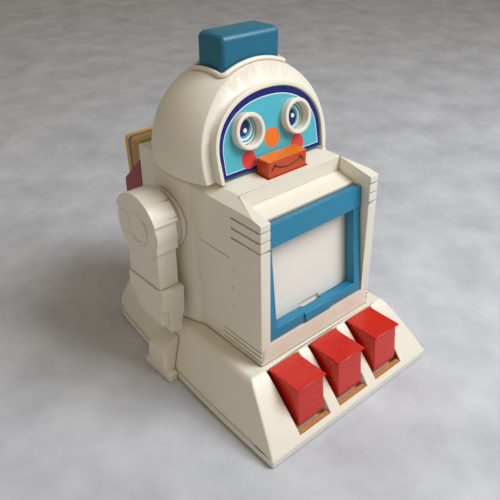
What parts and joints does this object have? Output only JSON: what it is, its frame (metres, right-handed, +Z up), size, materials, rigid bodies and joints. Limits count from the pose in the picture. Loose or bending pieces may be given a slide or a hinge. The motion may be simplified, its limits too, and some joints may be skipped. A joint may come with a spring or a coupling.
{
  "type": "toy robot",
  "caption": "Toy robot on a sloped base with press keys, a framed picture window, a press hat that turns the eyes, a press mouth, swinging arms and a rear card rack.",
  "frame": {"origin": "middle of the footprint, on the surface that the robot stands on", "axes": "+Z up, +Y towards the robot's back, +X towards the viewer's right when the robot is seen from the front"},
  "size_m": [0.169, 0.224, 0.2409],
  "materials": {
    "cream_abs": "satin moulded ABS, cream white",
    "blue_abs": "satin moulded ABS, turquoise blue",
    "red_abs": "glossy moulded ABS, red",
    "orange_abs": "glossy moulded ABS, orange",
    "face_print": "printed plastic label, teal with navy border",
    "eye_print": "printed plastic disc",
    "panel_white": "matt white plastic sheet",
    "white_pom": "natural acetal",
    "spring_steel": "plated spring wire and screws",
    "foot_rubber": "soft pale rubber",
    "stop_foam": "orange foam",
    "rack_red": "moulded plastic, dark red",
    "card_olive": "printed card",
    "card_orange": "printed card",
    "card_blue": "printed card",
    "card_yellow": "printed card"
  },
  "bodies": {
    "shell": {"base_shell": "cream_abs", "base_plate": "cream_abs", "rubber_feet": "foot_rubber", "base_screws": "spring_steel", "foot_block_left": "cream_abs", "foot_block_right": "cream_abs", "key_shaft": "spring_steel", "key_stops": "stop_foam", "key_spring_left": "spring_steel", "key_spring_middle": "spring_steel", "key_spring_right": "spring_steel", "torso_front": "cream_abs", "torso_rear": "cream_abs", "torso_screws": "spring_steel", "window_pins": "spring_steel", "picture_panel": "panel_white", "mouth_guide": "white_pom", "mouth_spring": "spring_steel", "head_front": "cream_abs", "head_rear": "cream_abs", "head_screws": "spring_steel", "face_plate": "face_print", "face_label": "face_print", "eye_bezel_left": "cream_abs", "eye_bezel_right": "cream_abs", "gear_plate": "white_pom", "gear_plate_screws": "spring_steel", "hat_collar": "cream_abs", "hat_guide": "white_pom", "hat_spring": "spring_steel", "shoulder_rings_left": "cream_abs", "shoulder_rings_right": "cream_abs", "card_box": "cream_abs", "card_rack": "rack_red", "cards_olive": "card_olive", "cards_yellow": "card_yellow", "cards_blue": "card_blue", "cards_orange": "card_orange"},
    "hat": {"hat_button": "blue_abs", "hat_rack": "white_pom"},
    "mouth": {"mouth_button": "orange_abs"},
    "key_l": {"key_left": "red_abs"},
    "key_m": {"key_middle": "red_abs"},
    "key_r": {"key_right": "red_abs"},
    "window": {"window_frame": "blue_abs"},
    "drive": {"drive_gear": "white_pom"},
    "eye_l": {"eye_disc_left": "eye_print", "eye_gear_left": "white_pom"},
    "eye_r": {"eye_disc_right": "eye_print", "eye_gear_right": "white_pom"},
    "arm_l": {"arm_left": "cream_abs", "hand_left": "cream_abs", "shoulder_boss_left": "cream_abs", "arm_pivot_left": "spring_steel", "pivot_clip_left": "spring_steel"},
    "arm_r": {"arm_right": "cream_abs", "hand_right": "cream_abs", "shoulder_boss_right": "cream_abs", "arm_pivot_right": "spring_steel", "pivot_clip_right": "spring_steel"}
  },
  "joints": [
    {"name": "hat_press", "type": "slide", "parent": "shell", "child": "hat", "axis": [0, 0, -1], "range_m": [0, 0.012], "stiffness_N_per_m": 120, "springref_m": -0.005, "deforming": ["hat_spring"]},
    {"name": "drive_spin", "type": "hinge", "parent": "shell", "child": "drive", "pos_m": [0, -0.01817, 0.18472], "axis": [0, -0.9781, 0.2079], "range_deg": [-57, 0]},
    {"name": "eye_left_spin", "type": "hinge", "parent": "shell", "child": "eye_l", "pos_m": [-0.021, -0.01817, 0.18472], "axis": [0, -0.9781, 0.2079], "range_deg": [0, 76]},
    {"name": "eye_right_spin", "type": "hinge", "parent": "shell", "child": "eye_r", "pos_m": [0.021, -0.01817, 0.18472], "axis": [0, -0.9781, 0.2079], "range_deg": [0, 76]},
    {"name": "mouth_press", "type": "slide", "parent": "shell", "child": "mouth", "axis": [0, 0, -1], "range_m": [0, 0.004], "stiffness_N_per_m": 150, "springref_m": -0.003, "deforming": ["mouth_spring"]},
    {"name": "key_left_press", "type": "hinge", "parent": "shell", "child": "key_l", "pos_m": [-0.0388, -0.06, 0.031], "axis": [1, 0, 0], "range_deg": [0, 8], "stiffness_Nm_per_rad": 0.4, "springref_deg": -6.88, "deforming": ["key_spring_left"]},
    {"name": "key_middle_press", "type": "hinge", "parent": "shell", "child": "key_m", "pos_m": [0, -0.06, 0.031], "axis": [1, 0, 0], "range_deg": [0, 8], "stiffness_Nm_per_rad": 0.4, "springref_deg": -6.88, "deforming": ["key_spring_middle"]},
    {"name": "key_right_press", "type": "hinge", "parent": "shell", "child": "key_r", "pos_m": [0.0388, -0.06, 0.031], "axis": [1, 0, 0], "range_deg": [0, 8], "stiffness_Nm_per_rad": 0.4, "springref_deg": -6.88, "deforming": ["key_spring_right"]},
    {"name": "window_hinge", "type": "hinge", "parent": "shell", "child": "window", "pos_m": [0, -0.05852, 0.13797], "axis": [-1, 0, 0], "range_deg": [0, 75]},
    {"name": "arm_left_swing", "type": "hinge", "parent": "shell", "child": "arm_l", "pos_m": [-0.07, 0.0235, 0.1187], "axis": [-1, 0, 0], "range_deg": [-30, 120]},
    {"name": "arm_right_swing", "type": "hinge", "parent": "shell", "child": "arm_r", "pos_m": [0.07, 0.0235, 0.1187], "axis": [-1, 0, 0], "range_deg": [-30, 120]}
  ],
  "couplings": [
    {"joint": "drive_spin", "follows": "hat_press", "rad_per_m": -81.512},
    {"joint": "eye_left_spin", "follows": "hat_press", "rad_per_m": 108.68},
    {"joint": "eye_right_spin", "follows": "hat_press", "rad_per_m": 108.68}
  ]
}
